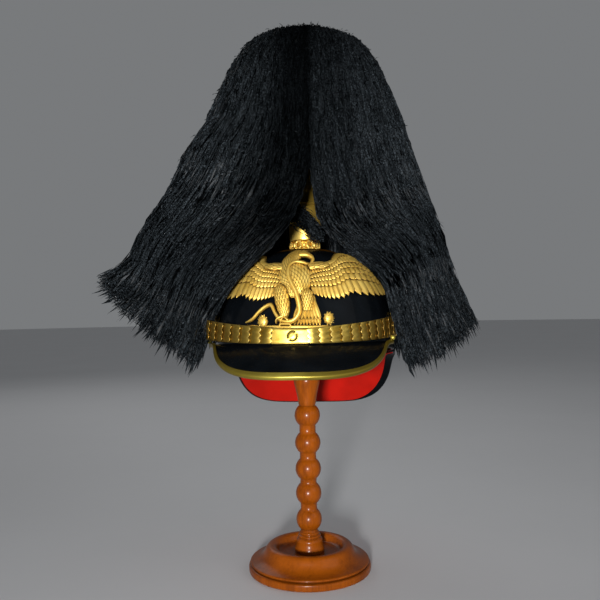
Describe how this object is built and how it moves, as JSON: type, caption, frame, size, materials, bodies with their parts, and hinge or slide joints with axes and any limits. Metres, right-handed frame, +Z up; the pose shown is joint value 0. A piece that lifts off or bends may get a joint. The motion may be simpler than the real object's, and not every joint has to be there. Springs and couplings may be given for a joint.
{
  "type": "pickelhaube with parade plume on a turned wooden stand",
  "caption": "Black leather spiked helmet with gilt eagle plate, scale chin strap, brass-edged peak and long parted black horsehair plume, resting on a turned wooden stand.",
  "frame": {"origin": "middle of the stand's underside, which rests on the surface", "axes": "+Z up along the stand; the helmet faces -Y and leans back 7 degrees; +X is to the right of a viewer who faces the front plate"},
  "size_m": [0.4492, 0.3284, 0.5942],
  "materials": {
    "wood": "varnished turned hardwood",
    "black_leather": "glossy black lacquer",
    "red_leather": "satin red",
    "brass": "gilt, polished on the high places",
    "horsehair": "crimped black horsehair"
  },
  "bodies": {
    "root": {"stand_base": "wood", "stand_stem": "wood", "stand_cap": "wood", "skull": "black_leather", "front_peak": "black_leather", "front_peak_trim": "brass", "rear_peak": "black_leather", "rear_peak_lining": "red_leather", "front_plate": "brass", "crown_plate": "brass", "neck_ring": "brass", "plume_funnel": "brass", "plume": "horsehair", "chin_strap_left": "black_leather", "chin_strap_right": "black_leather", "chin_scale_left_01": "brass", "chin_scale_left_02": "brass", "chin_scale_left_03": "brass", "chin_scale_left_04": "brass", "chin_scale_left_05": "brass", "chin_scale_left_06": "brass", "chin_scale_left_07": "brass", "chin_scale_left_08": "brass", "chin_scale_left_09": "brass", "chin_scale_left_10": "brass", "chin_scale_left_11": "brass", "chin_scale_right_01": "brass", "chin_scale_right_02": "brass", "chin_scale_right_03": "brass", "chin_scale_right_04": "brass", "chin_scale_right_05": "brass", "chin_scale_right_06": "brass", "chin_scale_right_07": "brass", "chin_scale_right_08": "brass", "chin_scale_right_09": "brass", "chin_scale_right_10": "brass", "chin_scale_right_11": "brass", "chin_scale_right_12": "brass", "chin_clasp_plate": "brass", "chin_clasp_stud": "brass", "chin_clasp_loop": "brass", "rosette_left": "brass", "rosette_right": "brass"}
  },
  "joints": []
}
